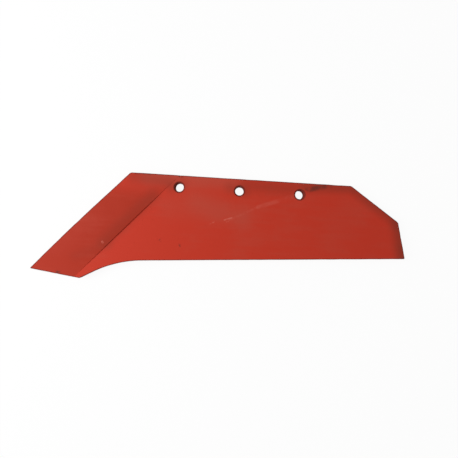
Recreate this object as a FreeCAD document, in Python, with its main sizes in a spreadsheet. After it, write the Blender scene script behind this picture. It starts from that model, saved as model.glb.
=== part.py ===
"""Share of a mouldboard plough, with a forged point, as a parametric FreeCAD document.

One piece of steel.  It is made here in the order in which the real one is made: plate stock,
a strip forged up along the landside, the outline sheared round both, the underside ground to
a cutting edge, the sheared edges eased, and three bolt holes.

Frame: the origin is the middle bolt hole on the flat back, +X runs along the bolt line towards
the wing, +Y towards the top edge that butts against the mouldboard, +Z out of the soil face.
Lengths are in millimetres and angles in degrees.
"""
import FreeCAD, Part
import math
import os
import Sketcher

NODE = "plough_share"

SIZES = [
    ("plate_thickness", 11.0, "stock, from the back to the soil face"),
    ("top_edge_height", 17.8, "bolt line to the top edge"),
    ("top_edge_fore", 163.4, "middle bolt to the top corner at the landside"),
    ("top_edge_aft", 166.2, "middle bolt to the sheared corner"),
    ("landside_length", 207.6, "top corner to the tip"),
    ("landside_angle", 47.05, "landside edge, from the bolt line"),
    ("nose_length", 75.6, "tip to the heel of the point"),
    ("nose_angle", 7.95, "nose edge, falling away from the bolt line"),
    ("ramp_length", 21.0, "straight run behind the heel of the point"),
    ("ramp_angle", 29.3, "ramp, from the bolt line"),
    ("throat_radius", 173.0, "arc that joins the ramp to the cutting edge"),
    ("cutting_angle", 3.87, "cutting edge, from the bolt line"),
    ("wing_reach", 252.5, "middle bolt to the heel of the wing"),
    ("wing_angle", 13.9, "wing end, from square to the bolt line"),
    ("corner_angle", 34.4, "sheared corner of the wing, from the bolt line"),
    ("strip_span", 73.0, "forged strip, measured along the top edge"),
    ("strip_taper", 0.35, "crease, steeper than the landside edge by this"),
    ("strip_rise", 3.9, "landside edge above the soil face, at mid length"),
    ("strip_root", 4.0, "depth from which the strip grows out of the plate"),
    ("crease_step", 1.2, "step up at the crease, at mid length"),
    ("crease_angle", 62.0, "face of that step, from the plate"),
    ("shoulder_run", 20.0, "shoulder of the strip, along the bolt line"),
    ("shoulder_radius", 250.0, "shoulder of the strip, at mid length"),
    ("crown_radius", 1100.0, "crown of the strip, at mid length"),
    ("edge_land", 3.0, "thickness left at the cutting edge"),
    ("bevel_width", 28.0, "ground face on the underside"),
    ("eased_edge", 0.8, "rounding of the sheared edges of the soil face"),
    ("bolt_pitch", 90.0, "between neighbouring bolt holes"),
    ("bolt_hole", 13.0, "clearance hole for an M12 plough bolt"),
    ("bolt_mouth", 16.0, "mouth of the hole on the soil face"),
    ("bolt_mouth_angle", 90.0, "countersink of that mouth"),
    ("stock_margin", 20.0, "stock left outside the outline before shearing"),
]
SIZE = {alias: value for alias, value, note in SIZES}

# Sections of the forged strip: how far each lies from the heel of the point to the top edge,
# and its shares of the step at the crease and of the rise at the landside edge.
STATIONS = [
    (-0.08, 0.12, 0.10),
    (0.09, 0.30, 0.24),
    (0.22, 0.75, 0.64),
    (0.49, 1.00, 1.00),
    (0.70, 0.90, 0.74),
    (0.85, 0.35, 0.38),
    (1.05, 0.10, 0.12),
]

BOLTS = 3
TOUCH = 1e-6  # distances under this are none
PROBE = 0.5  # how far a test point lies from the edge it tests


def degrees(alias):
    """Expression for the angle that a cell of the sheet gives in degrees."""
    return f"(sizes.{alias} * 1 deg)"


# Places that several sketches share, as expressions on the sheet.
TIP_REACH = f"sizes.landside_length * cos({degrees('landside_angle')})"
TIP_DROP = f"sizes.landside_length * sin({degrees('landside_angle')})"
HEEL_DROP = f"({TIP_DROP} + sizes.nose_length * sin({degrees('nose_angle')}))"
STRIP_ANGLE = "((sizes.landside_angle + sizes.strip_taper) * 1 deg)"
STOCK_LOW = (
    "-(sizes.top_edge_fore + sizes.landside_length + sizes.stock_margin)",
    "-(sizes.landside_length + sizes.nose_length + sizes.stock_margin)",
)
STOCK_HIGH = (
    "sizes.wing_reach + sizes.stock_margin",
    "sizes.top_edge_height + sizes.stock_margin",
)


def make_sheet(doc):
    """The driving dimensions: a note, a plain number and its alias on each row."""
    sheet = doc.addObject("Spreadsheet::Sheet", "sizes")
    for row, (alias, value, note) in enumerate(SIZES, start=1):
        sheet.set(f"A{row}", note)
        sheet.set(f"B{row}", str(value))
        sheet.setAlias(f"B{row}", alias)
    doc.recompute()


def origin_feature(body, role):
    """The body's own origin plane or axis that plays this role."""
    return next(item for item in body.Origin.OriginFeatures if item.Role == role)


def polar(start, length, angle):
    """The point at this length and angle in degrees from another."""
    turn = math.radians(angle)
    return (start[0] + length * math.cos(turn), start[1] + length * math.sin(turn))


def crossing(p, p_angle, q, q_angle):
    """Where the line through p at one angle meets the line through q at another."""
    a, b = math.radians(p_angle), math.radians(q_angle)
    reach = ((q[0] - p[0]) * math.sin(b) - (q[1] - p[1]) * math.cos(b)) / math.sin(b - a)
    return polar(p, reach, p_angle)


class Drawing:
    """A sketch on one of the body's origin planes, dimensioned by expressions on the sheet."""

    def __init__(self, body, name, plane, height="0 mm"):
        self.sketch = body.newObject("Sketcher::SketchObject", name)
        self.sketch.AttachmentSupport = [(origin_feature(body, plane), "")]
        self.sketch.MapMode = "FlatFace"
        self.sketch.setExpression("AttachmentOffset.Base.z", height)

    def value(self, formula):
        """What an expression comes to now, as a number."""
        found = self.sketch.evalExpression(formula)
        return getattr(found, "Value", found)

    def line(self, start, end):
        """A straight edge; returns its number."""
        ends = [FreeCAD.Vector(x, y, 0) for x, y in (start, end)]
        return self.sketch.addGeometry(Part.LineSegment(*ends), False)

    def arc(self, centre, radius, start_angle, end_angle):
        """An arc run anticlockwise between two angles in degrees; returns its number."""
        circle = Part.Circle(FreeCAD.Vector(*centre, 0), FreeCAD.Vector(0, 0, 1), radius)
        turns = (math.radians(start_angle), math.radians(end_angle))
        return self.sketch.addGeometry(Part.ArcOfCircle(circle, *turns), False)

    def circle(self, centre, radius):
        """A whole circle; returns its number."""
        circle = Part.Circle(FreeCAD.Vector(*centre, 0), FreeCAD.Vector(0, 0, 1), radius)
        return self.sketch.addGeometry(circle, False)

    def rule(self, kind, *places):
        """A constraint without a dimension."""
        self.sketch.addConstraint(Sketcher.Constraint(kind, *places))

    def size(self, name, formula, kind, *places):
        """A dimension of this kind and name, bound to a formula on the sheet."""
        value = self.value(formula)
        if kind == "Angle":
            value = math.radians(value)
        index = self.sketch.addConstraint(Sketcher.Constraint(kind, *places, value))
        self.sketch.renameConstraint(index, name)
        self.sketch.setExpression(f"Constraints.{name}", formula)

    def place(self, name, edge, end, across, up):
        """Both distances of an edge's end from the sketch's origin."""
        self.size(f"{name}_x", across, "DistanceX", -1, 1, edge, end)
        self.size(f"{name}_y", up, "DistanceY", -1, 1, edge, end)

    def box(self, low, high):
        """A rectangle between two corners that are given as expressions."""
        x0, y0, x1, y1 = [self.value(formula) for formula in (*low, *high)]
        corners = [(x0, y0), (x1, y0), (x1, y1), (x0, y1)]
        edges = [self.line(corners[i], corners[(i + 1) % 4]) for i in range(4)]
        for i in range(4):
            self.rule("Coincident", edges[i], 2, edges[(i + 1) % 4], 1)
            self.rule("Vertical" if i % 2 else "Horizontal", edges[i])
        self.place("low", edges[0], 1, *low)
        self.place("high", edges[2], 1, *high)


def outline_corners():
    """Places of the outline's corners, of the throat's centre and of its end, by name."""
    s = SIZE
    at = {"top": (-s["top_edge_fore"], s["top_edge_height"])}
    at["tip"] = polar(at["top"], s["landside_length"], 180 + s["landside_angle"])
    at["heel"] = polar(at["tip"], s["nose_length"], -s["nose_angle"])
    at["ramp_end"] = polar(at["heel"], s["ramp_length"], s["ramp_angle"])
    at["centre"] = polar(at["ramp_end"], s["throat_radius"], s["ramp_angle"] - 90)
    at["throat_end"] = polar(at["centre"], s["throat_radius"], s["cutting_angle"] + 90)
    at["wing_heel"] = crossing(at["throat_end"], s["cutting_angle"], (s["wing_reach"], 0), 90)
    at["top_end"] = (s["top_edge_aft"], s["top_edge_height"])
    at["corner_end"] = crossing(at["top_end"], -s["corner_angle"],
                                at["wing_heel"], 90 + s["wing_angle"])
    return at


def draw_outline(drawing):
    """The sheared outline, from the top corner round the point to the wing and back."""
    s, at = SIZE, outline_corners()
    landside = drawing.line(at["top"], at["tip"])
    nose = drawing.line(at["tip"], at["heel"])
    ramp = drawing.line(at["heel"], at["ramp_end"])
    throat = drawing.arc(at["centre"], s["throat_radius"],
                         s["cutting_angle"] + 90, s["ramp_angle"] + 90)
    cutting = drawing.line(at["throat_end"], at["wing_heel"])
    wing = drawing.line(at["wing_heel"], at["corner_end"])
    corner = drawing.line(at["corner_end"], at["top_end"])
    top_edge = drawing.line(at["top_end"], at["top"])

    drawing.rule("Coincident", landside, 2, nose, 1)
    drawing.rule("Coincident", nose, 2, ramp, 1)
    drawing.rule("Tangent", ramp, 2, throat, 2)
    drawing.rule("Tangent", throat, 1, cutting, 1)
    drawing.rule("Coincident", cutting, 2, wing, 1)
    drawing.rule("Coincident", wing, 2, corner, 1)
    drawing.rule("Coincident", corner, 2, top_edge, 1)
    drawing.rule("Coincident", top_edge, 2, landside, 1)
    drawing.rule("Horizontal", top_edge)

    drawing.place("top_corner", landside, 1, "-sizes.top_edge_fore", "sizes.top_edge_height")
    drawing.size("top_end", "sizes.top_edge_aft", "DistanceX", -1, 1, top_edge, 1)
    drawing.size("tip_reach", TIP_REACH, "DistanceX", landside, 2, landside, 1)
    drawing.size("tip_drop", TIP_DROP, "DistanceY", landside, 2, landside, 1)
    drawing.size("nose_length", "sizes.nose_length", "Distance", nose)
    drawing.size("nose_angle", f"-{degrees('nose_angle')}", "Angle", nose)
    drawing.size("ramp_length", "sizes.ramp_length", "Distance", ramp)
    drawing.size("ramp_angle", degrees("ramp_angle"), "Angle", ramp)
    drawing.size("throat_radius", "sizes.throat_radius", "Radius", throat)
    drawing.size("cutting_angle", degrees("cutting_angle"), "Angle", cutting)
    drawing.size("wing_reach", "sizes.wing_reach", "DistanceX", -1, 1, cutting, 2)
    drawing.size("wing_angle", f"90 deg + {degrees('wing_angle')}", "Angle", wing)
    drawing.size("corner_angle", f"180 deg - {degrees('corner_angle')}", "Angle", corner)


def draw_strip_section(drawing, down, step, rise):
    """One section of the forged strip: step, shoulder and crown, closed inside the plate.

    It lies this far below the top edge, with these shares of the step and of the rise.
    """
    root = "sizes.plate_thickness - sizes.strip_root"
    crease = f"sizes.strip_span - sizes.top_edge_fore - {down} / tan({STRIP_ANGLE})"
    outer = f"-sizes.top_edge_fore - {down} / tan({degrees('landside_angle')}) - sizes.stock_margin"
    slope = f"tan({degrees('crease_angle')})"
    foot = (f"{crease} + sizes.strip_root / {slope}", root)
    lip = (f"{crease} - sizes.crease_step * {step} / {slope}",
           f"sizes.plate_thickness + sizes.crease_step * {step}")
    edge = (outer, f"sizes.plate_thickness + sizes.strip_rise * {rise}")
    shoulder_radius = f"sizes.shoulder_radius / {rise}"
    crown_radius = f"sizes.crown_radius / {rise}"

    foot_at, lip_at, edge_at = [tuple(map(drawing.value, place)) for place in (foot, lip, edge)]
    r_shoulder, r_crown = drawing.value(shoulder_radius), drawing.value(crown_radius)
    run = SIZE["shoulder_run"]
    rest = lip_at[0] - run - edge_at[0]
    bend = (run * run / 2 + run * rest) / r_shoulder + rest * rest / (2 * r_crown)
    lip_slope = (edge_at[1] - lip_at[1] + bend) / (run + rest)
    knee_slope = lip_slope - run / r_shoulder
    edge_slope = knee_slope - rest / r_crown
    lip_turn, knee_turn, edge_turn = [
        90 - math.degrees(math.asin(slope)) for slope in (lip_slope, knee_slope, edge_slope)
    ]
    shoulder_centre = polar(lip_at, -r_shoulder, lip_turn)
    knee_at = polar(shoulder_centre, r_shoulder, knee_turn)
    crown_centre = polar(knee_at, -r_crown, knee_turn)
    edge_foot_at = (edge_at[0], foot_at[1])

    riser = drawing.line(foot_at, lip_at)
    shoulder = drawing.arc(shoulder_centre, r_shoulder, lip_turn, knee_turn)
    crown = drawing.arc(crown_centre, r_crown, knee_turn, edge_turn)
    outside = drawing.line(edge_at, edge_foot_at)
    base = drawing.line(edge_foot_at, foot_at)

    drawing.rule("Coincident", riser, 2, shoulder, 1)
    drawing.rule("Tangent", shoulder, 2, crown, 1)
    drawing.rule("Coincident", crown, 2, outside, 1)
    drawing.rule("Coincident", outside, 2, base, 1)
    drawing.rule("Coincident", base, 2, riser, 1)
    drawing.rule("Vertical", outside)
    drawing.rule("Horizontal", base)

    drawing.place("foot", riser, 1, *foot)
    drawing.place("lip", riser, 2, *lip)
    drawing.place("edge", outside, 1, *edge)
    drawing.size("shoulder_run", "sizes.shoulder_run", "DistanceX", shoulder, 2, shoulder, 1)
    drawing.size("shoulder_radius", shoulder_radius, "Radius", shoulder)
    drawing.size("crown_radius", crown_radius, "Radius", crown)


def make_stock(body):
    """Plate large enough for the whole outline, whatever its angles."""
    drawing = Drawing(body, "stock_outline", "XY_Plane")
    drawing.box(STOCK_LOW, STOCK_HIGH)
    stock = body.newObject("PartDesign::Pad", "stock")
    stock.Profile = drawing.sketch
    stock.setExpression("Length", "sizes.plate_thickness")


def make_strip(body):
    """The strip forged up along the landside, lofted through its sections."""
    sections = []
    for number, (share, step, rise) in enumerate(STATIONS, start=1):
        down = f"({HEEL_DROP} * {1 - share:.2f})"
        height = f"{down} - sizes.top_edge_height"
        drawing = Drawing(body, f"strip_section_{number}", "XZ_Plane", height)
        draw_strip_section(drawing, down, step, rise)
        sections.append(drawing.sketch)
    strip = body.newObject("PartDesign::AdditiveLoft", "forged_strip")
    strip.Profile = sections[0]
    strip.Sections = sections[1:]
    strip.Ruled = False


def shear_outline(body):
    """Everything outside the outline is cut away, through the plate and the strip."""
    margin = "sizes.stock_margin"
    drawing = Drawing(body, "share_outline", "XY_Plane")
    draw_outline(drawing)
    low = [f"{place} - {margin}" for place in STOCK_LOW]
    high = [f"{place} + {margin}" for place in STOCK_HIGH]
    drawing.box(low, high)
    sheared = body.newObject("PartDesign::Pocket", "sheared_outline")
    sheared.Profile = drawing.sketch
    sheared.Type = "ThroughAll"
    sheared.Reversed = True


def edge_names(shape, wanted):
    """Names of the shape's edges for which the test holds."""
    return [f"Edge{number}" for number, edge in enumerate(shape.Edges, start=1) if wanted(edge)]


def middle(edge):
    """The point half way along an edge."""
    return edge.valueAt((edge.FirstParameter + edge.LastParameter) / 2)


def bevel_underside(body):
    """The ground face behind the nose, the ramp, the throat and the cutting edge."""
    share = body.Tip.Shape

    def is_cutting_edge(edge):
        """On the back, with steel just above it on the plan and none just below."""
        points = [vertex.Point for vertex in edge.Vertexes] + [middle(edge)]
        if max(abs(point.z) for point in points) > TOUCH:
            return False
        inward = points[-1] + FreeCAD.Vector(0, PROBE, PROBE)
        outward = points[-1] + FreeCAD.Vector(0, -PROBE, PROBE)
        return share.isInside(inward, TOUCH, False) and not share.isInside(outward, TOUCH, False)

    bevel = body.newObject("PartDesign::Chamfer", "ground_bevel")
    bevel.Base = (body.getObject("sheared_outline"), edge_names(share, is_cutting_edge))
    bevel.ChamferType = "Two distances"
    bevel.setExpression("Size", "sizes.bevel_width")
    bevel.setExpression("Size2", "sizes.plate_thickness - sizes.edge_land")


def ease_edges(body):
    """The soil face is rounded along the cutting edge and the wing.

    The top edge stays sharp against the mouldboard, and so do the nose and the landside.
    """
    face_height = SIZE["plate_thickness"]
    heel_x = outline_corners()["heel"][0]

    def is_eased(edge):
        """In the soil face's plane, beyond the heel of the point and below the top edge."""
        ends = [vertex.Point for vertex in edge.Vertexes]
        at = middle(edge)
        in_plane = max(abs(point.z - face_height) for point in ends + [at]) < TOUCH
        on_crease = edge.Curve.TypeId == "Part::GeomBSplineCurve"
        below_top = at.y < SIZE["top_edge_height"] - TOUCH
        return in_plane and not on_crease and at.x > heel_x and below_top

    eased = body.newObject("PartDesign::Fillet", "eased_edges")
    base = body.getObject("ground_bevel")
    eased.Base = (base, edge_names(base.Shape, is_eased))
    eased.setExpression("Radius", "sizes.eased_edge")


def punch_bolt_holes(body):
    """A row of countersunk holes along the bolt line, patterned from the one nearest the point."""
    drawing = Drawing(body, "first_bolt", "XY_Plane", "sizes.plate_thickness")
    first = -(BOLTS - 1) / 2
    circle = drawing.circle((first * SIZE["bolt_pitch"], 0), SIZE["bolt_hole"] / 2)
    drawing.size("bolt_x", f"{first} * sizes.bolt_pitch", "DistanceX", -1, 1, circle, 3)
    drawing.rule("PointOnObject", circle, 3, -1)
    drawing.size("bolt_hole", "sizes.bolt_hole", "Diameter", circle)
    body.Document.recompute()

    hole = body.newObject("PartDesign::Hole", "bolt_hole")
    hole.Profile = drawing.sketch
    hole.Threaded = False
    hole.DepthType = "ThroughAll"
    hole.setExpression("Diameter", "sizes.bolt_hole")
    hole.HoleCutType = "Countersink"
    hole.setExpression("HoleCutDiameter", "sizes.bolt_mouth")
    hole.setExpression("HoleCutCountersinkAngle", degrees("bolt_mouth_angle"))
    body.Document.recompute()

    row = body.newObject("PartDesign::LinearPattern", "bolt_row")
    row.Originals = [hole]
    row.Direction = (origin_feature(body, "X_Axis"), [""])
    row.setExpression("Length", f"sizes.bolt_pitch * {BOLTS - 1}")
    row.Occurrences = BOLTS
    body.Tip = row


def make_share(doc):
    """The whole share as one body."""
    body = doc.addObject("PartDesign::Body", NODE)
    body.Label = NODE
    steps = (make_stock, make_strip, shear_outline, bevel_underside, ease_edges, punch_bolt_holes)
    for step in steps:
        before = body.Shape.Volume if body.Tip else 0.0
        step(body)
        doc.recompute()
        if abs(body.Shape.Volume - before) < TOUCH:
            raise RuntimeError(f"{step.__name__} changed nothing")
    return body


def check(doc, bodies):
    """Stop on a failed object, or a body that is not one valid solid."""
    failed = [item.Name for item in doc.Objects if {"Invalid", "Error"} & set(item.State)]
    if failed:
        raise RuntimeError(f"failed to compute: {', '.join(failed)}")
    for body in bodies:
        if body.Shape.isNull() or not body.Shape.isValid() or len(body.Shape.Solids) != 1:
            raise RuntimeError(f"{body.Label} is not one valid solid")


def main():
    """Build the document and write each body to its own file."""
    doc = FreeCAD.newDocument(NODE)
    make_sheet(doc)
    bodies = [make_share(doc)]
    check(doc, bodies)
    os.makedirs("parts", exist_ok=True)
    for body in bodies:
        body.Shape.exportStep(os.path.join("parts", f"{body.Label}.step"))


main()
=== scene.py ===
"""A painted plough share with a forged point, its studio floor, its light and its camera.

The share is one surface: the soil face, the back, the sheared edges round the outline and the
walls of the bolt holes, each worked out as whole arrays on a grid.  The outline and the forged
strip follow the same dimensions as the solid share, whose place the surface takes.

Frame: the origin is the middle bolt hole on the flat back, +X runs along the bolt line towards
the wing, +Y towards the top edge that meets the mouldboard, +Z out of the soil face.
"""
import math

import bpy
import numpy as np
from bpy.props import FloatProperty, FloatVectorProperty, IntProperty, PointerProperty
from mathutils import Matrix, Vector


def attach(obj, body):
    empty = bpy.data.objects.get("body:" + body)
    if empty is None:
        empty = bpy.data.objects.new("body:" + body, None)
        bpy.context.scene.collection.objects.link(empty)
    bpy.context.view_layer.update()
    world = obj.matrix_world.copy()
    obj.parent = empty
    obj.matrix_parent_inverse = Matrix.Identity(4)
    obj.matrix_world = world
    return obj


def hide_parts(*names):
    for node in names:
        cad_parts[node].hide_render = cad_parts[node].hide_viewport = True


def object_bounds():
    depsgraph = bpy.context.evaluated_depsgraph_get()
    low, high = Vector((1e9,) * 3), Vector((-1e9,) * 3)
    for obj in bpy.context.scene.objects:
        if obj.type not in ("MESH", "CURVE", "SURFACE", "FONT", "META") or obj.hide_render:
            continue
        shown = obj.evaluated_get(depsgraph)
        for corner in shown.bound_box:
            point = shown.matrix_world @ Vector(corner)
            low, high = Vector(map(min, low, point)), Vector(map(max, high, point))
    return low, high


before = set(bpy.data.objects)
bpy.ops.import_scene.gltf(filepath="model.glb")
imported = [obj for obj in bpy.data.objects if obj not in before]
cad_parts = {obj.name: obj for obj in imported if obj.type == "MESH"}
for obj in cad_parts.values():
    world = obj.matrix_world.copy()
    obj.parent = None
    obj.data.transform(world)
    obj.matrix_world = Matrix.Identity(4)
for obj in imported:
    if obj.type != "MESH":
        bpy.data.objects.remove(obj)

bl_info = {
    "name": "Plough share",
    "version": (1, 0, 0),
    "blender": (4, 5, 0),
    "location": "View3D > Sidebar > Plough share",
    "description": "Makes a red painted plough share with a forged point, and a studio for it",
    "category": "Add Mesh",
}

MM = 0.001
AIM = (-0.02, -0.05, 0.0)  # where the key lamp points
WHITE = (1.0, 1.0, 1.0)
SHARE_NODE = "plough_share"
CAD_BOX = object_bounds()


def length(name, description, millimetres, low=0.0):
    """A length property whose default is given in millimetres."""
    return FloatProperty(name=name, description=description, default=millimetres * MM,
                         min=low, unit="LENGTH", precision=4)


def angle(name, description, degrees):
    """An angle property whose default is given in degrees."""
    return FloatProperty(name=name, description=description, default=math.radians(degrees),
                         unit="ROTATION")


def colour(name, description, red_green_blue):
    """A scene-linear colour property."""
    return FloatVectorProperty(name=name, description=description, default=red_green_blue,
                               size=3, subtype="COLOR", min=0.0, max=1.0)


def share_of(name, description, default):
    """A plain factor from none to all."""
    return FloatProperty(name=name, description=description, default=default,
                         min=0.0, max=1.0, subtype="FACTOR")


class ShareSizes(bpy.types.PropertyGroup):
    """Dimensions of the share."""

    plate_thickness: length("Plate", "From the flat back to the soil face", 11.0)
    top_edge_height: length("Top edge height", "Bolt line to the top edge", 17.8)
    top_edge_fore: length("Top edge, fore", "Middle bolt to the top corner at the landside", 163.4)
    top_edge_aft: length("Top edge, aft", "Middle bolt to the sheared corner", 166.2)
    landside_length: length("Landside", "Top corner to the tip", 207.6)
    landside_angle: angle("Landside angle", "Landside edge, from the bolt line", 47.05)
    nose_length: length("Nose", "Tip to the heel of the point", 75.6)
    nose_angle: angle("Nose angle", "Nose edge, falling away from the bolt line", 7.95)
    ramp_length: length("Ramp", "Straight run behind the heel of the point", 21.0)
    ramp_angle: angle("Ramp angle", "Ramp, from the bolt line", 29.3)
    throat_radius: length("Throat", "Arc that joins the ramp to the cutting edge", 173.0)
    cutting_angle: angle("Cutting angle", "Cutting edge, from the bolt line", 3.87)
    wing_reach: length("Wing reach", "Middle bolt to the heel of the wing", 252.5)
    wing_angle: angle("Wing angle", "Wing end, from square to the bolt line", 13.9)
    corner_angle: angle("Corner angle", "Sheared corner of the wing", 34.4)
    strip_span: length("Strip", "Forged strip, measured along the top edge", 73.0)
    strip_taper: angle("Strip taper", "Crease, steeper than the landside by this", 0.35)
    strip_rise: length("Strip rise", "Landside edge above the soil face, at mid length", 3.9)
    crease_step: length("Crease step", "Step up at the crease, at mid length", 1.2)
    crease_angle: angle("Crease angle", "Face of that step, from the plate", 62.0)
    crease_groove: length("Crease groove", "Depth of the fold beside the crease", 0.25)
    shoulder_run: length("Shoulder", "Shoulder of the strip, along the bolt line", 20.0)
    shoulder_radius: length("Shoulder radius", "Shoulder of the strip", 250.0)
    crown_radius: length("Crown radius", "Crown of the strip", 1100.0)
    strip_margin: length("Strip margin", "How far outside the landside the rise is set", 20.0)
    edge_land: length("Land", "Thickness left at the cutting edge", 3.0)
    bevel_width: length("Bevel", "Ground face on the underside", 28.0)
    eased_edge: length("Eased edge", "Rounding of the edges of the soil face", 0.8)
    back_edge: length("Back edge", "Rounding of the edges of the back", 0.3)
    bolt_pitch: length("Bolt pitch", "Between neighbouring bolt holes", 90.0)
    bolt_hole: length("Bolt hole", "Clearance hole", 13.0)
    bolt_mouth: length("Bolt mouth", "Mouth of the hole on the soil face", 16.0)
    forging_swell: length("Forging swell", "Unevenness left by forging on the strip", 0.16)
    rolling_swell: length("Rolling swell", "Unevenness of the rolled plate", 0.05)
    bolts: IntProperty(name="Bolts", description="Bolt holes in the row", default=3, min=1)


class SharePaint(bpy.types.PropertyGroup):
    """Colours and sheen of the paint and of what shows through it, and colours that paint in shade,
    sheen and a highlight.
    """

    red: colour("Red", "Sound coat of paint", (0.51, 0.036, 0.017))
    # The forged red is painted shade: a darker red over the strip that stands in for the shade of
    # its slope down to the crease.
    forged: colour("Forged red", "The coat over the forged strip", (0.395, 0.029, 0.012))
    # This greyed red tints the coat at random as dust, and is painted sheen in the three tone
    # strokes over the left half of the plate.
    dust_and_sheen: colour("Dull red", "Where dust and handling have greyed the paint", (0.46, 0.060, 0.036))
    # The brown is dirt round the first two bolt holes and darkens the top edge; beside the crease
    # and at the wing end it is painted shade.
    brown: colour("Brown", "Where the coat is thin and dirty", (0.26, 0.032, 0.017))
    rub: colour("Rub", "Dark brown rub marks", (0.10, 0.026, 0.018))
    # This pale colour is scuffs and scratches, and a painted highlight along the long streak below
    # the third bolt hole.
    scuff_and_highlight: colour("Chalk", "Pale scuffs and scratches", (0.62, 0.15, 0.11))
    # This dark colour lines the outline's edges, and is painted shade on the walls of the bolt
    # holes and round their mouths.
    dark_rim_and_hole_shade: colour("Bare", "Sheared edges, where the coat is thinnest", (0.12, 0.020, 0.014))
    sheen: share_of("Roughness", "Roughness of the sound paint", 0.56)
    gloss: share_of("Gloss", "Strength of the coat's reflections", 0.10)


class Studio(bpy.types.PropertyGroup):
    """Floor, light and camera."""

    floor_white: share_of("Floor", "Paleness of the floor", 0.86)
    floor_glow: share_of("Floor glow", "Share of plain white in what the camera sees of it", 0.93)
    camera_height: length("Camera height", "Lens above the soil face", 440.0)
    camera_x: length("Camera along", "Lens along the bolt line", -12.1, low=-10.0)
    camera_y: length("Camera across", "Lens across the bolt line", -57.5, low=-10.0)
    camera_turn: angle("Camera turn", "Turn of the picture about the line of sight", 3.57)
    field_width: length("Field width", "Width of the soil face's plane in the picture", 682.4)
    key_place: FloatVectorProperty(name="Key lamp", description="Where the key lamp hangs", size=3,
                                   default=(-0.95, -0.02, 0.65), subtype="TRANSLATION")
    key_power: FloatProperty(name="Key power", description="Power of the key lamp", default=9.5,
                             min=0.0, unit="POWER")
    fill: FloatProperty(name="Fill", description="Strength of the light from all round",
                        default=0.55, min=0.0)


# ---------------------------------------------------------------- outline and grids


def polar(start, reach, turn):
    """The point at this reach and turn from another."""
    return np.array([start[0] + reach * math.cos(turn), start[1] + reach * math.sin(turn)])


def crossing(p, p_turn, q, q_turn):
    """Where the line through p at one turn meets the line through q at another."""
    reach = ((q[0] - p[0]) * math.sin(q_turn) - (q[1] - p[1]) * math.cos(q_turn))
    return polar(p, reach / math.sin(q_turn - p_turn), p_turn)


def outline_corners(s, inset=0.0):
    """The outline's corners by name, with the cutting side moved inwards by the inset.

    Each corner is where two neighbouring edges cross; the throat's arc touches the ramp and
    the cutting edge, so its centre stays and its radius grows by the inset.
    """
    quarter = math.pi / 2
    at = {"top": np.array([-s.top_edge_fore, s.top_edge_height])}
    landside_turn = math.pi + s.landside_angle
    tip = polar(at["top"], s.landside_length, landside_turn)
    heel = polar(tip, s.nose_length, -s.nose_angle)
    ramp_end = polar(heel, s.ramp_length, s.ramp_angle)
    at["centre"] = polar(ramp_end, s.throat_radius, s.ramp_angle - quarter)
    radius = s.throat_radius + inset
    at["ramp_end"] = polar(at["centre"], radius, s.ramp_angle + quarter)
    at["throat_end"] = polar(at["centre"], radius, s.cutting_angle + quarter)
    nose_at = polar(tip, inset, quarter - s.nose_angle)
    at["tip"] = crossing(nose_at, -s.nose_angle, at["top"], landside_turn)
    at["heel"] = crossing(nose_at, -s.nose_angle, at["ramp_end"], s.ramp_angle)
    throat_end = polar(at["centre"], s.throat_radius, s.cutting_angle + quarter)
    wing_heel = crossing(throat_end, s.cutting_angle, (s.wing_reach, 0.0), quarter)
    wing_turn = quarter + s.wing_angle
    at["wing_heel"] = crossing(at["throat_end"], s.cutting_angle, wing_heel, wing_turn)
    at["top_end"] = np.array([s.top_edge_aft, s.top_edge_height])
    at["corner_end"] = crossing(at["top_end"], -s.corner_angle, wing_heel, wing_turn)
    crease_top = np.array([s.strip_span - s.top_edge_fore, s.top_edge_height])
    crease_turn = s.landside_angle + s.strip_taper
    at["crease_top"] = crease_top
    at["crease_foot"] = crossing(nose_at, -s.nose_angle, crease_top, crease_turn)
    return at


def spread(reach, fine, coarse, growth=1.25):
    """Shares from 0 to 1 whose steps start fine and grow to coarse, over this reach."""
    steps = np.minimum(fine * growth ** np.arange(400), coarse)
    count = int(np.searchsorted(np.cumsum(steps), reach)) + 1
    places = np.concatenate([[0.0], np.cumsum(steps[:count])])
    return places / places[-1]


def chain(*spans):
    """Spans of shares, each from 0 to 1, one after the other as one run of knot numbers."""
    runs = [number + shares[(1 if number else 0):] for number, shares in enumerate(spans)]
    return np.concatenate(runs)


def along(knots, places):
    """Points at these knot numbers of a polyline whose corners are the whole numbers."""
    places, numbers = np.array(places), np.arange(len(places))
    return np.stack([np.interp(knots, numbers, places[:, k]) for k in (0, 1)], axis=-1)


THROAT_START, THROAT_STOP = 3, 4
CUTTING_SPLIT = 0.78  # where the grid divides the cutting edge, as a share of its length


def cutting_side(s, knots, inset=0.0):
    """Points along nose, ramp, throat and cutting edge: straight runs and one true arc."""
    at = outline_corners(s, inset)
    mid = along(np.array([CUTTING_SPLIT]), [at["throat_end"], at["wing_heel"]])[0]
    names = ("tip", "crease_foot", "heel", "ramp_end", "throat_end")
    points = along(knots, [at[name] for name in names] + [mid, at["wing_heel"]])
    turn = math.pi / 2 + np.interp(knots, (THROAT_START, THROAT_STOP),
                                   (s.ramp_angle, s.cutting_angle))
    radius = s.throat_radius + inset
    arc = at["centre"] + radius * np.stack([np.cos(turn), np.sin(turn)], axis=-1)
    on_arc = (knots >= THROAT_START) & (knots <= THROAT_STOP)
    return np.where(on_arc[:, None], arc, points)


def top_side(s, knots):
    """Points along the top edge and the sheared corner, one for each on the cutting side."""
    at = outline_corners(s)
    start = at["crease_top"]
    shares = [0.0, 4.5 * MM, 20.0 * MM, 75.0 * MM]
    plain = [start + np.array([reach, 0.0]) for reach in shares]
    return along(knots, [at["top"]] + plain + [at["top_end"], at["corner_end"]])


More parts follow.
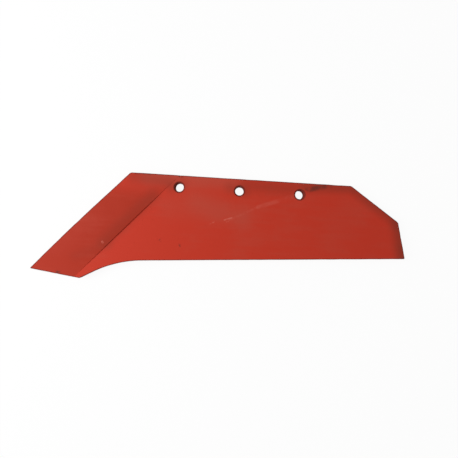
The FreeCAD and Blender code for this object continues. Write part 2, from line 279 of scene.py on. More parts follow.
def coons(low, high, left, right, rise):
    """Grid of points inside four boundary runs, indexed across and then up.

    Each point is the straight blend of low and high at its rise, moved by as much as the left
    and right runs depart from the blends of their own ends, in proportion to its place across.
    """
    across = np.concatenate([[0], np.cumsum(np.linalg.norm(np.diff(low, axis=0), axis=1))])
    across = (across / across[-1])[:, None, None]
    up = rise[None, :, None]
    blend = (1 - up) * low[:, None] + up * high[:, None]
    left_off = left[None] - ((1 - up) * low[0] + up * high[0])
    right_off = right[None] - ((1 - up) * low[-1] + up * high[-1])
    return blend + (1 - across) * left_off + across * right_off


def loop_numbers(columns, rows):
    """Grid indices once round the boundary, anticlockwise from the lower left corner."""
    last_column, last_row = columns - 1, rows - 1
    i = np.concatenate([np.arange(last_column), np.full(last_row, last_column),
                        np.arange(last_column, 0, -1), np.zeros(last_row, int)])
    j = np.concatenate([np.zeros(last_column, int), np.arange(last_row),
                        np.full(last_column, last_row), np.arange(last_row, 0, -1)])
    return i, j


def inward(loop):
    """For each point of a closed anticlockwise loop, its step inwards for a unit inset."""
    before = loop - np.roll(loop, 1, axis=0)
    after = np.roll(loop, -1, axis=0) - loop
    normals = [np.stack([-run[:, 1], run[:, 0]], axis=-1)
               / np.linalg.norm(run, axis=1, keepdims=True) for run in (before, after)]
    mean = normals[0] + normals[1]
    return mean / (1 + np.sum(normals[0] * normals[1], axis=1, keepdims=True))


# ---------------------------------------------------------------- heights

# Sections of the forged strip: how far each lies from the heel of the point to the top edge,
# and its shares of the step at the crease and of the rise at the landside edge.
STATIONS = np.array([
    (-0.08, 0.12, 0.10),
    (0.09, 0.30, 0.24),
    (0.22, 0.75, 0.64),
    (0.49, 1.00, 1.00),
    (0.70, 0.90, 0.74),
    (0.85, 0.35, 0.38),
    (1.05, 0.10, 0.12),
])


def smooth_through(x, places, values):
    """Cubic pieces through the values, with the slope at each set by its neighbours."""
    slopes = np.gradient(values, places)
    k = np.clip(np.searchsorted(places, x) - 1, 0, len(places) - 2)
    gap = places[k + 1] - places[k]
    t = (x - places[k]) / gap
    return ((1 + 2 * t) * (1 - t) ** 2 * values[k] + t * (1 - t) ** 2 * gap * slopes[k]
            + t * t * (3 - 2 * t) * values[k + 1] + t * t * (t - 1) * gap * slopes[k + 1])


def swell(x, y, wavelength, seed, waves=9):
    """Even unevenness between -1 and 1: plane waves of about one length, turned at random."""
    rng = np.random.default_rng(seed)
    turns = rng.uniform(0, 2 * math.pi, waves)
    counts = 2 * math.pi / (wavelength * rng.uniform(0.7, 1.5, waves))
    phases = rng.uniform(0, 2 * math.pi, waves)
    shape = (waves,) + (1,) * np.ndim(x)
    turns, counts, phases = (a.reshape(shape) for a in (turns, counts, phases))
    run = np.asarray(x)[None] * np.cos(turns) + np.asarray(y)[None] * np.sin(turns)
    return np.sin(run * counts + phases).sum(0) / math.sqrt(waves) / 1.6


def soft_min(a, b, blend):
    """The lower of two heights, rounded over where they are within the blend."""
    near = np.clip(0.5 + 0.5 * (b - a) / blend, 0, 1)
    return b * (1 - near) + a * near - blend * near * (1 - near)


def crease_reach(s, x, y):
    """How far a point lies past the crease, towards the landside, along the bolt line."""
    down = s.top_edge_height - y
    crease = s.strip_span - s.top_edge_fore - down / math.tan(s.landside_angle + s.strip_taper)
    return crease - x


def strip_shares(s, y):
    """Shares of the crease's step and of the landside's rise at this height."""
    at = outline_corners(s)
    place = 1 - (s.top_edge_height - y) / (s.top_edge_height - at["heel"][1])
    return [smooth_through(place, STATIONS[:, 0], STATIONS[:, k]) for k in (1, 2)]


def soil_face(s, x, y):
    """Height of the soil face: flat plate, a step at the crease, then shoulder and crown.

    Past the crease the height is the lower of the step's steep face and of two parabolas
    with the shoulder's and the crown's curvature, which end at the landside's rise.
    """
    down = s.top_edge_height - y
    step_share, rise_share = strip_shares(s, y)
    slope = math.tan(s.crease_angle)
    reach = crease_reach(s, x, y)
    landside = -s.top_edge_fore - down / math.tan(s.landside_angle) - s.strip_margin
    lip = s.crease_step * step_share
    run = s.shoulder_run
    rest = reach + x - lip / slope - run - landside
    bend = (run * run / 2 + run * rest) * rise_share / s.shoulder_radius
    bend = bend + rest * rest / 2 * rise_share / s.crown_radius
    climb = (s.strip_rise * rise_share - lip + bend) / (run + rest)
    past = reach - lip / slope
    near, far = np.minimum(past, run), np.maximum(past - run, 0)
    climb_far = climb - run * rise_share / s.shoulder_radius
    strip = (lip + climb * near - near * near / 2 * rise_share / s.shoulder_radius
             + climb_far * far - far * far / 2 * rise_share / s.crown_radius)
    riser = np.maximum(reach, 0) * slope
    raised = np.where(reach > 0, soft_min(riser, strip, 0.12 * MM), 0)
    fold = np.exp(-((reach + 0.35 * MM) / (0.45 * MM)) ** 2) * step_share
    over_strip = np.clip(reach / (12 * MM), 0, 1)
    forging = swell(x, y, 46 * MM, 3) * 0.7 + swell(x, y, 21 * MM, 4) * 0.3
    rolling = swell(x, y * 2.2, 90 * MM, 5)
    uneven = (s.forging_swell * over_strip * np.minimum(rise_share * 1.4, 1) * forging
              + s.rolling_swell * (rolling - 1))
    return s.plate_thickness + raised - s.crease_groove * fold + uneven


def back_face(s, x, y):
    """Height of the back: flat, and rising to the cutting side over the ground bevel.

    The bevel is the higher of two planes, one up to the nose and one up to the rest of the
    cutting side, whose distance is taken from the ramp, the arc of the throat or the edge.
    """
    at = outline_corners(s)

    def from_line(point, turn):
        return (y - point[1]) * math.cos(turn) - (x - point[0]) * math.sin(turn)

    centre = at["centre"]
    turn = np.arctan2(y - centre[1], x - centre[0]) - math.pi / 2
    throat = np.hypot(x - centre[0], y - centre[1]) - s.throat_radius
    edge = np.where(turn > s.ramp_angle, from_line(at["ramp_end"], s.ramp_angle), throat)
    edge = np.where(turn < s.cutting_angle, from_line(at["throat_end"], s.cutting_angle), edge)
    nose = from_line(at["tip"], -s.nose_angle)
    depth = s.plate_thickness - s.edge_land
    bevel = np.maximum(1 - nose / s.bevel_width, 1 - edge / s.bevel_width) * depth
    uneven = 0.04 * MM * (1 + swell(x, y, 70 * MM, 8))
    return np.maximum(bevel, 0) + np.clip(uneven, 0, None)


# ---------------------------------------------------------------- the share's surface


class Shell:
    """Points and faces of one surface, gathered grid by grid."""

    def __init__(self):
        self.points, self.faces, self.count = [], [], 0

    def add(self, points):
        """Adds an array of points and returns their numbers in the same shape."""
        flat = points.reshape(-1, 3)
        numbers = self.count + np.arange(len(flat)).reshape(points.shape[:-1])
        self.points.append(flat)
        self.count += len(flat)
        return numbers

    def skin(self, numbers, keep=None, around=False, flip=False):
        """Four-sided faces between neighbours of a grid of point numbers."""
        if around:
            numbers = np.concatenate([numbers, numbers[:, :1]], axis=1)
        quads = np.stack([numbers[:-1, :-1], numbers[1:, :-1],
                          numbers[1:, 1:], numbers[:-1, 1:]], axis=-1)
        quads = quads[keep] if keep is not None else quads.reshape(-1, 4)
        self.faces.append(quads[:, ::-1] if flip else quads)

    def mesh(self, name):
        """The gathered surface as a smooth-shaded mesh, without its unused points."""
        points, faces = np.concatenate(self.points), np.concatenate(self.faces)
        used, faces = np.unique(faces, return_inverse=True)
        faces = faces.reshape(-1, 4)
        mesh = bpy.data.meshes.new(name)
        mesh.vertices.add(len(used))
        mesh.vertices.foreach_set("co", points[used].astype(np.float32).ravel())
        mesh.loops.add(faces.size)
        mesh.loops.foreach_set("vertex_index", faces.astype(np.int32).ravel())
        mesh.polygons.add(len(faces))
        mesh.polygons.foreach_set("loop_start", np.arange(0, faces.size, 4, dtype=np.int32))
        mesh.update(calc_edges=True)
        mesh.polygons.foreach_set("use_smooth", np.ones(len(faces), bool))
        mesh.validate()
        return mesh


def block_round(grid, centre, clear):
    """The smallest index rectangle whose rim is clear of a circle about the centre."""
    off = grid - centre
    i, j = np.unravel_index(np.argmin(np.linalg.norm(off, axis=-1)), off.shape[:2])
    i0, i1, j0, j1 = i - 1, i + 1, j - 1, j + 1
    while True:
        rims = (off[i0, j0:j1 + 1], off[i1, j0:j1 + 1], off[i0:i1 + 1, j0], off[i0:i1 + 1, j1])
        short = [np.linalg.norm(rim, axis=-1).min() < clear for rim in rims]
        if not any(short):
            return i0, i1, j0, j1
        i0, i1, j0, j1 = i0 - short[0], i1 + short[1], j0 - short[2], j1 + short[3]


def hole_profile(s, front, back):
    """Radius and height of a bolt hole's wall, from its rounded mouth down to the back."""
    bore, mouth, ease = s.bolt_hole / 2, s.bolt_mouth / 2, 0.35 * MM
    turn = np.linspace(0, math.pi / 4, 4)
    rim = [(mouth + ease * (math.tan(math.pi / 8) - math.sin(a)), ease * (math.cos(a) - 1))
           for a in turn]
    sink = mouth - bore
    walls = [(bore + 0.5 * sink, -0.5 * sink), (bore + 0.12 * MM, -sink + 0.12 * MM),
             (bore, -sink - 0.08 * MM), (bore, -sink - 0.6 * MM)]
    radii = [r for r, z in rim + walls]
    heights = [front + z for r, z in rim + walls]
    radii += [bore, bore, bore + 0.1 * MM, bore + 0.35 * MM]
    heights += [(front + back) / 2, back + 0.5 * MM, back + 0.1 * MM, back]
    return np.array(radii), np.array(heights)


def nicked(s, loop):
    """Rounding of the soil face's edge at each point of the outline, with dents and nicks."""
    at = outline_corners(s)
    x, y = loop[:, 0], loop[:, 1]
    base = np.full(len(loop), s.eased_edge)
    on_nose = (x < at["heel"][0]) & (y < at["tip"][1] + 1 * MM)
    on_top = y > s.top_edge_height - 0.1 * MM
    on_landside = (x < at["top"][0]) & ~on_nose
    base = np.where(on_nose, 0.65 * s.eased_edge, base)
    base = np.where(on_top | on_landside, 0.55 * s.eased_edge, base)
    base = base * (1 + 0.25 * swell(x, y, 17 * MM, 12) + 0.15 * swell(x, y, 6 * MM, 13))
    marks = ((-263.1, -138.1, 2.4, 1.4), (-89.8, 18.0, 2.6, 0.9), (-292.0, -134.5, 1.6, 0.6),
             (62.0, -97.6, 2.0, 0.5), (-172.5, -118.0, 1.8, 0.5), (243.5, -55.0, 2.2, 0.5))
    for mark_x, mark_y, width, depth in marks:
        near = np.hypot(x - mark_x * MM, y - mark_y * MM) / (width * MM)
        base = base + depth * MM * np.exp(-near ** 2)
    return base


def share_mesh(s):
    """The whole share: two faces on one outline, the edge between them, and the holes.

    Soil face and back are boundary-fitted grids over the outline.  The edge is a profile
    carried round it: a rounding, the sheared wall and a rounding again.  Each hole is a
    profile carried round its axis, joined to a gap left in both grids.
    """
    at = outline_corners(s)
    wide = 1.95 * MM
    crease_side = spread(70 * MM, 0.1 * MM, wide)
    knots = chain(1 - crease_side[::-1],
                  spread(5.9 * MM, 0.1 * MM, 0.9 * MM),
                  np.linspace(0, 1, 13), np.linspace(0, 1, 38),
                  np.linspace(0, 1, 158), np.linspace(0, 1, 44))
    bevel_rows, plain_rows = 16, 72
    first = s.bevel_width / math.sin(s.landside_angle + s.nose_angle)
    rise = np.concatenate([np.linspace(0, first, bevel_rows + 1)[:-1],
                           np.linspace(first, s.landside_length, plain_rows + 1)])
    rise = rise / s.landside_length
    bevelled = outline_corners(s, s.bevel_width)
    part_way = (np.linalg.norm(bevelled["wing_heel"] - at["wing_heel"])
                / np.linalg.norm(at["corner_end"] - at["wing_heel"]))
    wing_rise = np.interp(rise, (0, rise[bevel_rows], 1), (0, part_way, 1))

    low, high = cutting_side(s, knots), top_side(s, knots)
    left = at["tip"] + (at["top"] - at["tip"]) * rise[:, None]
    right = at["wing_heel"] + (at["corner_end"] - at["wing_heel"]) * wing_rise[:, None]
    columns, rows = len(knots), len(rise)
    i, j = loop_numbers(columns, rows)
    outline = np.concatenate([low[:-1], right[:-1], high[:0:-1], left[:0:-1]])
    step_in = inward(outline)
    for corner, blunt in (("tip", 0.9), ("heel", 0.4), ("top", 0.5), ("top_end", 0.3),
                          ("corner_end", 0.5), ("wing_heel", 0.7)):
        index = np.argmin(np.linalg.norm(outline - at[corner], axis=1))
        middle = step_in[index] / np.linalg.norm(step_in[index])
        outline[index] += middle * blunt * MM
    ragged = 0.09 * MM * (1 + swell(outline[:, 0], outline[:, 1], 24 * MM, 21))
    outline = outline + step_in * np.clip(ragged, 0, None)[:, None] * 0.8
    ease = nicked(s, outline)

    def sides(inset):
        """The outline moved inwards, as the four runs of a grid."""
        loop = outline + step_in * inset[:, None]
        grid = np.zeros((columns, rows, 2))
        grid[i, j] = loop
        return grid[:, 0], grid[:, -1], grid[0], grid[-1]

    crease = int(np.argmin(abs(knots - 1)))
    low, high, left, right = sides(ease)
    crease_line = low[crease] + (high[crease] - low[crease]) * rise[:, None]
    strip = coons(low[:crease + 1], high[:crease + 1], left, crease_line, rise)
    plate = coons(low[crease:], high[crease:], crease_line, right, rise)
    front = np.concatenate([strip, plate[1:]], axis=0)

    shared = int(0.6 * rows)
    low, high, left, right = sides(np.full(len(outline), s.back_edge))
    inner = cutting_side(s, knots, s.bevel_width)
    inner_left, inner_right = left[bevel_rows], right[bevel_rows]
    run = np.interp(knots, (0, 2), (0, 1))[:, None]
    inner = np.where(knots[:, None] < 2, inner_left + (bevelled["heel"] - inner_left) * run, inner)
    run = np.interp(knots, (4, 6), (0, 1))[:, None]
    shift = inner_right - inner[-1]
    inner = inner + shift * run
    local = rise[:bevel_rows + 1] / rise[bevel_rows]
    bevel = coons(low, inner, left[:bevel_rows + 1], right[:bevel_rows + 1], local)
    middle_rows = slice(bevel_rows, shared + 1)
    local = (rise[middle_rows] - rise[bevel_rows]) / (rise[shared] - rise[bevel_rows])
    join = front[:, shared].copy()
    join[0], join[-1] = left[shared], right[shared]
    flat = coons(inner, join, left[middle_rows], right[middle_rows], local)
    upper = front[:, shared:].copy()
    upper[0], upper[-1], upper[:, -1] = left[shared:], right[shared:], high
    back = np.concatenate([bevel, flat[:, 1:], upper[:, 1:]], axis=1)

    def lifted(grid, height):
        return np.concatenate([grid, height(s, grid[..., 0], grid[..., 1])[..., None]], axis=-1)

    shell = Shell()
    front, back = lifted(front, soil_face), lifted(back, back_face)
    front_numbers, back_numbers = shell.add(front), shell.add(back)

    keep = np.ones((columns - 1, rows - 1), bool)
    for number in range(s.bolts):
        centre = np.array([(number - (s.bolts - 1) / 2) * s.bolt_pitch, 0.0])
        rim = s.bolt_mouth / 2 + 1.3 * MM
        i0, i1, j0, j1 = block_round(front[..., :2], centre, rim)
        keep[i0:i1, j0:j1] = False
        bi, bj = loop_numbers(i1 - i0 + 1, j1 - j0 + 1)
        bi, bj = bi + i0, bj + j0
        off = front[bi, bj, :2] - centre
        turn = np.unwrap(np.arctan2(off[:, 1], off[:, 0]))
        unit = np.stack([np.cos(turn), np.sin(turn)], axis=-1)
        level = soil_face(s, centre[0] + unit[:, 0] * rim, unit[:, 1] * rim).mean()
        radii, heights = hole_profile(s, level, float(back_face(s, centre[0], 0.0)))
        wall = np.concatenate([centre + radii[:, None, None] * unit,
                               np.broadcast_to(heights[:, None, None], (len(radii), len(unit), 1))],
                              axis=-1)
        fade = np.linspace(0.8, 0.2, 4)[:, None, None]
        ring = centre + unit * radii[0]
        collar = lifted(ring + (front[bi, bj, :2] - ring) * fade, soil_face)
        ring = centre + unit * radii[-1]
        under = lifted(ring + (back[bi, bj, :2] - ring) * fade[::-1], back_face)
        inside = shell.add(np.concatenate([collar, wall, under]))
        numbers = np.concatenate([front_numbers[bi, bj][None], inside,
                                  back_numbers[bi, bj][None]])
        shell.skin(numbers, around=True, flip=True)

    shell.skin(front_numbers, keep)
    shell.skin(back_numbers, keep, flip=True)

    top_z = front[i, j, 2]
    low_z = back[i, j, 2]
    profile = []
    for turn in np.linspace(0, math.pi / 2, 6)[1:]:
        inset = ease * (1 - math.sin(turn))
        profile.append((inset, top_z - ease * (1 - math.cos(turn))))
    wall_top, wall_low = top_z - ease, low_z + s.back_edge
    rough = 0.06 * MM * (1 + swell(outline[:, 0], outline[:, 1], 9 * MM, 31))
    for share in (0.3, 0.65):
        profile.append((rough, wall_top + (wall_low - wall_top) * share))
    for turn in np.linspace(0, math.pi / 2, 4)[:-1]:
        inset = np.full(len(outline), s.back_edge * (1 - math.cos(turn)))
        profile.append((inset, low_z + s.back_edge * (1 - math.sin(turn))))
    rings = [np.concatenate([outline + step_in * inset[:, None], height[:, None]], axis=1)
             for inset, height in profile]
    inside = shell.add(np.stack(rings))
    numbers = np.concatenate([front_numbers[i, j][None], inside, back_numbers[i, j][None]])
    shell.skin(numbers, around=True)
    return shell.mesh("painted_share")


# ---------------------------------------------------------------- materials


class Socket:
    """A shader value: Python's operators on it add the Math nodes that work it out."""

    def __init__(self, nodes, out):
        self.nodes, self.out = nodes, out

    def math(self, operation, *others, clamp=False):
        """A Math node of this operation on this value and the others."""
        settings = {"operation": operation, "use_clamp": clamp}
        return self.nodes.add("ShaderNodeMath", settings, [self, *others])

    def __add__(self, other):
        return self.math("ADD", other)

    def __sub__(self, other):
        return self.math("SUBTRACT", other)

    def __rsub__(self, other):
        return self.nodes.add("ShaderNodeMath", {"operation": "SUBTRACT"}, [other, self])

    def __mul__(self, other):
        return self.math("MULTIPLY", other)

    def __truediv__(self, other):
        return self.math("DIVIDE", other)

    def __neg__(self):
        return self * -1.0

    __radd__, __rmul__ = __add__, __mul__

    def between(self, low, high):
        """0 below low, 1 above high and a soft ramp from one to the other."""
        settings = {"interpolation_type": "SMOOTHSTEP"}
        return self.nodes.add("ShaderNodeMapRange", settings, [self, low, high, 0.0, 1.0])

    def part(self, axis):
        """One of a vector's three parts."""
        return self.nodes.add("ShaderNodeSeparateXYZ", {}, [self], axis)


class Nodes:
    """A node tree, written as expressions on its sockets."""

    def __init__(self, owner):
        owner.use_nodes = True
        self.tree = owner.node_tree
        self.tree.nodes.clear()

    def add(self, kind, settings=None, inputs=(), output=0):
        """A node of this kind: settings first, then the values or links of its sockets."""
        node = self.tree.nodes.new(kind)
        for name, value in (settings or {}).items():
            setattr(node, name, value)
        named = inputs.items() if isinstance(inputs, dict) else enumerate(inputs)
        for key, value in named:
            if isinstance(value, Socket):
                self.tree.links.new(value.out, node.inputs[key])
            elif value is not None:
                node.inputs[key].default_value = value
        return Socket(self, node.outputs[output]) if len(node.outputs) else None

    def place(self):
        """Object coordinates."""
        return self.add("ShaderNodeTexCoord", {}, (), "Object")

    def attribute(self, name):
        """A number stored at each of the mesh's vertices."""
        return self.add("ShaderNodeAttribute", {"attribute_name": name}, (), "Fac")

    def ray(self, kind):
        """1 for rays of this kind."""
        return self.add("ShaderNodeLightPath", {}, (), kind)

    def stretched(self, place, scale, turn=0.0):
        """The place scaled along three axes, after a turn about the third."""
        settings = {"vector_type": "POINT"}
        inputs = {"Vector": place, "Rotation": (0.0, 0.0, turn), "Scale": scale}
        return self.add("ShaderNodeMapping", settings, inputs)

    def noise(self, place, scale, detail=3.0, roughness=0.5, distortion=0.0):
        """Cloudy noise between 0 and 1 of this scale per metre."""
        inputs = {"Vector": place, "Scale": scale, "Detail": detail, "Roughness": roughness,
                  "Distortion": distortion}
        return self.add("ShaderNodeTexNoise", {"noise_dimensions": "3D"}, inputs, "Fac")

    def mix(self, factor, first, second):
        """A colour between two."""
        settings = {"data_type": "RGBA", "blend_type": "MIX"}
        node_inputs = {0: factor, 6: first, 7: second}
        return self.add("ShaderNodeMix", settings, node_inputs, 2)

    def stroke(self, place, start, end, width, soft=1.0):
        """A mask along a straight stroke on the soil face, 1 on its line and 0 at its width."""
        start, end = (np.array(p) * MM for p in (start, end))
        run = end - start
        reach = float(np.hypot(*run))
        x, y = place.part(0) - float(start[0]), place.part(1) - float(start[1])
        unit = run / reach
        on = x * float(unit[0]) + y * float(unit[1])
        off = y * float(unit[0]) - x * float(unit[1])
        beyond = on.math("SUBTRACT", reach).math("MAXIMUM", -on).math("MAXIMUM", 0.0)
        far = (off * off + beyond * beyond).math("SQRT") / (width * MM)
        return (1.0 - far).between(0.0, soft)


def four(colour):
    """A colour property with full alpha."""
    return (*colour, 1.0)


# Tones on the soil face: which colour, the ends of the stroke in millimetres, its half width and
# its strength. Some are dirt; the ones marked below are painted sheen and painted shade.
TONES = (
    # Painted sheen: these three greyed strokes stand in for the coat's reflection of the light over
    # the left half of the plate.
    ("dust_and_sheen", (-135.0, 16.0), (-12.0, 14.0), 24.0, 0.85),
    ("dust_and_sheen", (-62.0, -20.0), (6.0, -40.0), 30.0, 0.55),
    ("dust_and_sheen", (-100.0, -28.0), (-40.0, -30.0), 34.0, 0.35),
    # These brown strokes darken the top edge; the two round the first and second bolt holes are
    # dirt.
    ("brown", (-158.0, 12.0), (-108.0, 8.0), 18.0, 0.40),
    ("brown", (-100.0, -1.0), (-86.0, 6.0), 15.0, 0.35),
    ("brown", (10.0, 10.0), (78.0, 9.0), 19.0, 0.45),
    ("brown", (-14.0, 4.0), (8.0, 0.0), 15.0, 0.40),
    ("brown", (96.0, 12.0), (166.0, 15.0), 15.0, 0.60),
    # Painted shade: these brown strokes darken the sheared corner and the wing end, the far end of
    # the plate from the key lamp.
    ("brown", (176.0, 11.0), (238.0, -31.0), 17.0, 0.65),
    ("brown", (240.5, -34.0), (252.0, -90.0), 21.0, 0.85),
    # Painted shade: these brown strokes darken the forged strip along the crease and below it
    # towards the nose.
    ("brown", (-196.0, -88.0), (-128.0, -14.0), 17.0, 0.40),
    ("brown", (-238.0, -112.0), (-190.0, -92.0), 13.0, 0.18),
)

# Marks on the coat: which colour, the ends of the stroke, its half width, its strength and the
# scale of the noise that breaks it up, per metre. The long pale streak among them is a painted
# highlight.
MARKS = (
    ("rub", (101.0, 8.0), (134.0, 16.5), 6.0, 0.70, 80.0),
    ("rub", (-89.8, 16.4), (-86.0, 16.8), 3.4, 0.80, 400.0),
    ("rub", (-156.0, 16.8), (-134.0, 16.8), 2.8, 0.45, 300.0),
    ("rub", (-264.0, -136.6), (-260.5, -137.4), 3.2, 0.85, 500.0),
    ("rub", (-113.7, -80.2), (-113.0, -80.8), 2.6, 0.50, 600.0),
    ("rub", (-84.4, -84.6), (-83.8, -87.6), 2.2, 0.55, 600.0),
    # Painted highlight: the first two pale strokes, running down from the third bolt hole, stand in
    # for a bright line of reflected light; the short ones after them are scratches and a scuff.
    ("scuff_and_highlight", (82.0, -2.6), (29.0, -22.1), 4.6, 0.20, 60.0),
    ("scuff_and_highlight", (29.0, -22.1), (-12.0, -43.9), 2.8, 0.10, 200.0),
    ("scuff_and_highlight", (-9.0, -40.6), (-20.0, -44.6), 1.5, 0.60, 420.0),
    ("scuff_and_highlight", (-13.0, -45.0), (-16.5, -47.5), 1.6, 0.45, 420.0),
    ("scuff_and_highlight", (-35.0, -48.4), (-40.5, -51.4), 1.4, 0.50, 420.0),
    ("scuff_and_highlight", (-198.6, -88.0), (-198.0, -89.0), 2.4, 0.80, 900.0),
)


def red_paint(paint, sizes):
    """Brushed red paint over rolled and forged steel, greyed, scuffed and dark along its edges,
    with painted shade on the strip, by the crease, at the wing end and in the bolt holes, and
    painted sheen and a painted highlight on the plate.
    """
    material = bpy.data.materials.new("red_paint")
    nodes = Nodes(material)
    place = nodes.place()
    fore = nodes.attribute("past_crease") / MM
    outer = nodes.attribute("from_outline") / MM
    holes = (nodes.attribute("from_holes") - sizes.bolt_mouth / 2) / MM

    cloud = nodes.noise(place, 9.0, 4.0, 0.55)
    patch = nodes.noise(place, 38.0, 3.0, 0.6)
    streaked = nodes.noise(nodes.stretched(place, (14.0, 150.0, 14.0), math.radians(-3)), 1.0, 4.0)
    mottle = cloud * 0.45 + patch * 0.25 + streaked * 0.3
    below_top = (sizes.top_edge_height - place.part(1)) / MM
    # Painted shade: past the crease the coat turns to the darker forged red, fading out towards the
    # top edge.
    strip_shade = fore.between(-1.0, 2.0) * below_top.between(6.0, 44.0)
    dusty = mottle.between(0.46, 0.66) * 0.3
    plain = nodes.mix(dusty, four(paint.red), four(paint.dust_and_sheen))
    tint = nodes.mix(strip_shade, four(paint.red), four(paint.forged))
    tint = nodes.mix(dusty, tint, four(paint.dust_and_sheen))
    for name, start, end, width, depth in TONES:
        tone = nodes.stroke(place, start, end, width) * (mottle * 1.6 + 0.2) * depth
        tint = nodes.mix(tone, tint, four(getattr(paint, name)))
    for name, start, end, width, depth, scale in MARKS:
        broken = nodes.noise(place, scale, 3.0).between(0.32, 0.58)
        mark = nodes.stroke(place, start, end, width, 0.8) * broken * depth
        tint = nodes.mix(mark, tint, four(getattr(paint, name)))
    above = (place.part(2) - sizes.plate_thickness) / MM
    tint = nodes.mix(above.between(-2.5, -0.8), plain, tint)

    grain = nodes.noise(place, 340.0, 4.0, 0.65)
    frayed = (grain - 0.5) * 1.2
    # A dark rim along the outline; and painted shade: the walls of each bolt hole and a narrow ring
    # round its mouth take the same dark colour.
    rim = 1.0 - (outer + frayed).between(0.5, 1.9)
    mouth = 1.0 - (holes + frayed).between(0.0, 1.4)
    dark_rim_and_hole_shade = rim.math("MAXIMUM", mouth)
    tint = nodes.mix(dark_rim_and_hole_shade * 0.8, tint, four(paint.dark_rim_and_hole_shade))
    rough = mottle * 0.12 + dark_rim_and_hole_shade * 0.3 + (paint.sheen - 0.06)

    peel = nodes.noise(place, 900.0, 2.0)
    brushed = nodes.noise(nodes.stretched(place, (60.0, 900.0, 60.0), math.radians(2)), 1.0, 3.0)
    pitted = nodes.noise(place, 230.0, 3.0, 0.6)
    relief = peel * 0.35 + brushed * 0.45 + pitted * 0.5 - dark_rim_and_hole_shade * 0.4
    bump = nodes.add("ShaderNodeBump", {}, {"Strength": 0.35, "Distance": 0.00022,
                                            "Height": relief}, "Normal")
    shader = nodes.add("ShaderNodeBsdfPrincipled", {}, {
        "Base Color": tint, "Roughness": rough, "Metallic": 0.0, "Normal": bump,
        "Specular IOR Level": paint.gloss})
    nodes.add("ShaderNodeOutputMaterial", {}, {"Surface": shader})
    return material


def studio_white(studio):
    """White that the camera sees nearly as bright as the background, and that keeps a shadow."""
    material = bpy.data.materials.new("studio_white")
    nodes = Nodes(material)
    seen = nodes.ray("Is Camera Ray")
    for kind in ("Is Glossy Ray", "Is Transmission Ray"):
        seen = seen.math("MAXIMUM", nodes.ray(kind))
    plain = nodes.add("ShaderNodeBsdfDiffuse", {}, {"Color": four([studio.floor_white] * 3)})
    glow = nodes.add("ShaderNodeEmission", {}, {"Color": four(WHITE), "Strength": 1.0})
    mixed = nodes.add("ShaderNodeMixShader", {}, {0: seen * studio.floor_glow, 1: plain, 2: glow})
    nodes.add("ShaderNodeOutputMaterial", {}, {"Surface": mixed})
    return material


def soft_room(studio):
    """White light from all round at the fill's strength; the camera sees it as plain white."""
    world = bpy.data.worlds.new("soft_room")
    nodes = Nodes(world)
    strength = nodes.ray("Is Camera Ray") * (1.0 - studio.fill) + studio.fill
    room = nodes.add("ShaderNodeBackground", {}, {"Color": four(WHITE), "Strength": strength})
    nodes.add("ShaderNodeOutputWorld", {}, {"Surface": room})
    return world


# ---------------------------------------------------------------- operators


def from_outline(s, x, y):
    """Distance of each point from the outline, on the plan.

    It is the least of the distances from the straight edges and, beside the throat, from
    its arc.
    """
    at = outline_corners(s)
    points = np.stack([x, y], axis=-1)
    order = ("top", "tip", "heel", "ramp_end", "throat_end", "wing_heel", "corner_end", "top_end")
    least = np.full(len(points), np.inf)
    for name, after in zip(order, order[1:] + order[:1]):
        if name == "ramp_end":
            continue
        run = at[after] - at[name]
        share = np.clip((points - at[name]) @ run / (run @ run), 0, 1)
        away = points - at[name] - share[:, None] * run
        least = np.minimum(least, np.hypot(away[:, 0], away[:, 1]))
    off = points - at["centre"]
    turn = np.arctan2(off[:, 1], off[:, 0]) - math.pi / 2
    on_arc = (turn > s.cutting_angle) & (turn < s.ramp_angle)
    arc = abs(np.hypot(off[:, 0], off[:, 1]) - s.throat_radius)
    return np.where(on_arc, np.minimum(least, arc), least)


def from_holes(s, x, y):
    """Distance of each point from the nearest bolt hole's axis, on the plan."""
    axes = (np.arange(s.bolts) - (s.bolts - 1) / 2) * s.bolt_pitch
    return np.hypot(x[:, None] - axes, y[:, None]).min(axis=1)


class SHARE_OT_add_share(bpy.types.Operator):
    """Make the painted share and put it in the place of the solid one"""

    bl_idname = "plough.add_share"
    bl_label = "Add plough share"

    def execute(self, context):
        scene = context.scene
        sizes = scene.share_sizes
        mesh = share_mesh(sizes)
        places = np.empty(len(mesh.vertices) * 3, np.float32)
        mesh.vertices.foreach_get("co", places)
        x, y, z = places.reshape(-1, 3).T
        for name, values in (("from_outline", from_outline(sizes, x, y)),
                             ("from_holes", from_holes(sizes, x, y)),
                             ("past_crease", crease_reach(sizes, x, y))):
            layer = mesh.attributes.new(name, "FLOAT", "POINT")
            layer.data.foreach_set("value", values.astype(np.float32))
        mesh.materials.append(red_paint(scene.share_paint, sizes))
        share = bpy.data.objects.new("painted_share", mesh)
        scene.collection.objects.link(share)
        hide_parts(SHARE_NODE)
        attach(share, "root")
        return {"FINISHED"}


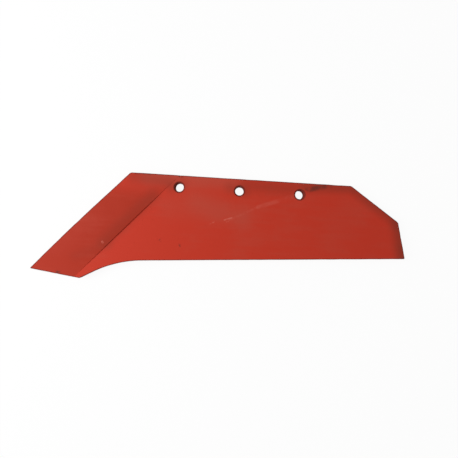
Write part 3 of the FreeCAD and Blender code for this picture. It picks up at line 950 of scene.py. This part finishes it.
class SHARE_OT_add_studio(bpy.types.Operator):
    """Lay the white floor, hang the lamps and set the camera square above the share"""

    bl_idname = "plough.add_studio"
    bl_label = "Add studio"

    def execute(self, context):
        scene, studio = context.scene, context.scene.studio
        ground = CAD_BOX[0][2]
        half = 12.0
        mesh = bpy.data.meshes.new("studio_floor")
        corners = [(-half, -half, ground), (half, -half, ground),
                   (half, half, ground), (-half, half, ground)]
        mesh.from_pydata(corners, [], [(0, 1, 2, 3)])
        mesh.materials.append(studio_white(studio))
        floor = bpy.data.objects.new("studio_floor", mesh)
        scene.collection.objects.link(floor)

        lamp = bpy.data.lights.new("key_lamp", "AREA")
        lamp.shape, lamp.size, lamp.energy = "DISK", 0.7, studio.key_power
        key = bpy.data.objects.new("key_lamp", lamp)
        key.location = studio.key_place
        key.rotation_euler = (Vector(AIM) - key.location).to_track_quat("-Z", "Y").to_euler()
        scene.collection.objects.link(key)

        scene.world = soft_room(studio)

        lens = bpy.data.cameras.new("camera")
        lens.sensor_width = 36.0
        lens.lens = lens.sensor_width * studio.camera_height / studio.field_width
        camera = bpy.data.objects.new("camera", lens)
        height = scene.share_sizes.plate_thickness + studio.camera_height
        camera.location = (studio.camera_x, studio.camera_y, height)
        camera.rotation_euler = (0.0, 0.0, studio.camera_turn)
        scene.collection.objects.link(camera)
        scene.camera = camera
        scene.view_settings.view_transform = "Standard"
        return {"FINISHED"}


class SHARE_PT_panel(bpy.types.Panel):
    """The steps that make the scene, in their order"""

    bl_label = "Plough share"
    bl_idname = "SHARE_PT_panel"
    bl_space_type = "VIEW_3D"
    bl_region_type = "UI"
    bl_category = "Plough share"

    def draw(self, context):
        for operator in OPERATORS:
            self.layout.operator(operator.bl_idname)


OPERATORS = (SHARE_OT_add_share, SHARE_OT_add_studio)
GROUPS = {"share_sizes": ShareSizes, "share_paint": SharePaint, "studio": Studio}


def register():
    """Makes the properties, the operators and the panel known to Blender."""
    for name, group in GROUPS.items():
        bpy.utils.register_class(group)
        setattr(bpy.types.Scene, name, PointerProperty(type=group))
    for cls in (*OPERATORS, SHARE_PT_panel):
        bpy.utils.register_class(cls)


def unregister():
    """Takes them away again."""
    for cls in (SHARE_PT_panel, *reversed(OPERATORS)):
        bpy.utils.unregister_class(cls)
    for name, group in GROUPS.items():
        delattr(bpy.types.Scene, name)
        bpy.utils.unregister_class(group)


def main():
    """Makes the share and its studio."""
    register()
    bpy.ops.plough.add_share()
    bpy.ops.plough.add_studio()


if __name__ == "__main__":
    main()
